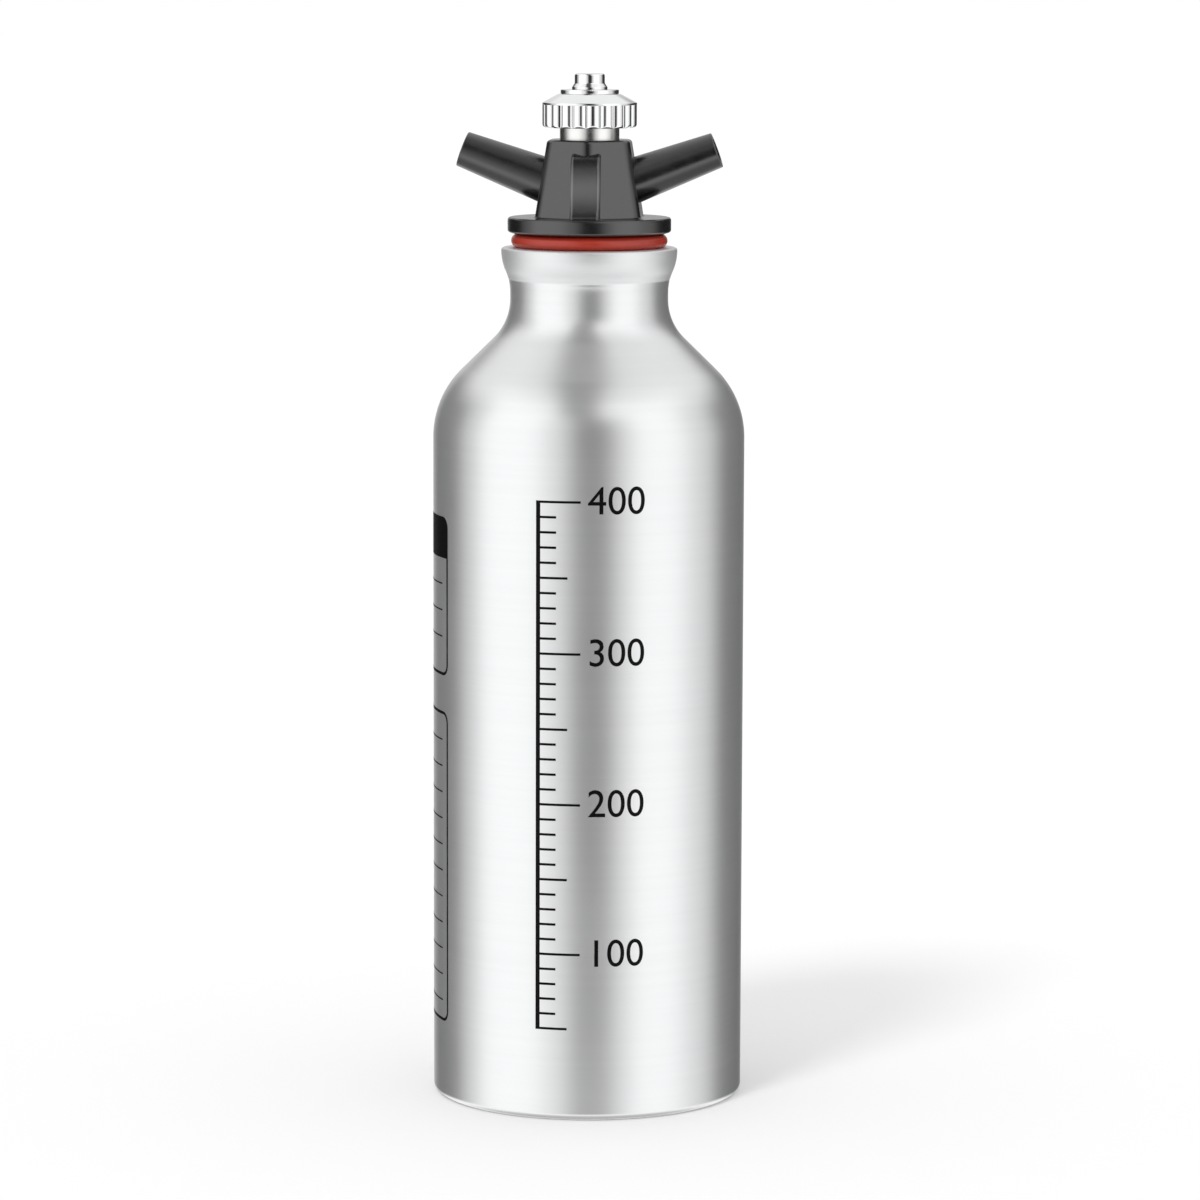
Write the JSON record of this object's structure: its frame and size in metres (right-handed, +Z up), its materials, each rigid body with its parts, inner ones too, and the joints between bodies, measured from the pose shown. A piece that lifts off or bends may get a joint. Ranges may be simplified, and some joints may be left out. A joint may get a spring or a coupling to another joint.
{
  "type": "camping fuel bottle",
  "caption": "Brushed aluminium fuel bottle with a screw-in safety-valve cap: side spouts, sprung push-button stem and a ribbed locking knob.",
  "frame": {"origin": "middle of the base, on the plane that the bottle stands on", "axes": "+Z up along the bottle's axis, X along the two spouts, -Y towards the viewer of the picture"},
  "size_m": [0.066, 0.066, 0.217],
  "materials": {
    "brushed_aluminium": "satin, brushed round the axis",
    "red_silicone": "soft satin",
    "black_plastic": "satin moulded",
    "satin_nickel": "satin",
    "bright_chrome": "mirror",
    "stem_steel": "machined",
    "black_rubber": "matte"
  },
  "bodies": {
    "bottle": {"bottle_shell": "brushed_aluminium"},
    "cap_seal": {"cap_o_ring": "red_silicone"},
    "valve_cap": {"valve_body": "black_plastic", "pour_spout": "black_plastic", "vent_spout": "black_plastic", "guide_collar": "satin_nickel", "stem_o_ring": "black_rubber", "return_spring": "stem_steel"},
    "stem": {"valve_stem": "stem_steel", "stem_clip": "stem_steel", "spring_washer": "stem_steel", "poppet_seal": "black_rubber", "seal_backing_washer": "stem_steel", "seal_lock_washer": "stem_steel", "seal_lock_nut": "stem_steel", "top_washer": "bright_chrome", "push_button": "bright_chrome"},
    "knob_carrier": {"knob_thrust_washer": "stem_steel"},
    "knob": {"locking_knob": "bright_chrome"}
  },
  "joints": [
    {"name": "cap_lift", "type": "slide", "parent": "bottle", "child": "cap_seal", "axis": [0, 0, 1], "range_m": [0, 0.02]},
    {"name": "cap_turn", "type": "hinge", "parent": "cap_seal", "child": "valve_cap", "pos_m": [0, 0, 0.18], "axis": [0, 0, 1], "range_deg": [0, 1800]},
    {"name": "press", "type": "slide", "parent": "valve_cap", "child": "stem", "axis": [0, 0, -1], "range_m": [0, 0.0014], "stiffness_N_per_m": 600, "springref_m": -0.006, "deforming": ["return_spring"]},
    {"name": "knob_lift", "type": "slide", "parent": "stem", "child": "knob_carrier", "axis": [0, 0, -1], "range_m": [0, 0.00105]},
    {"name": "knob_turn", "type": "hinge", "parent": "knob_carrier", "child": "knob", "pos_m": [0, 0, 0.208], "axis": [0, 0, -1], "range_deg": [0, 540]}
  ],
  "couplings": [
    {"joint": "cap_lift", "follows": "cap_turn", "m_per_rad": 0.00063662},
    {"joint": "knob_lift", "follows": "knob_turn", "m_per_rad": 0.00011141}
  ]
}
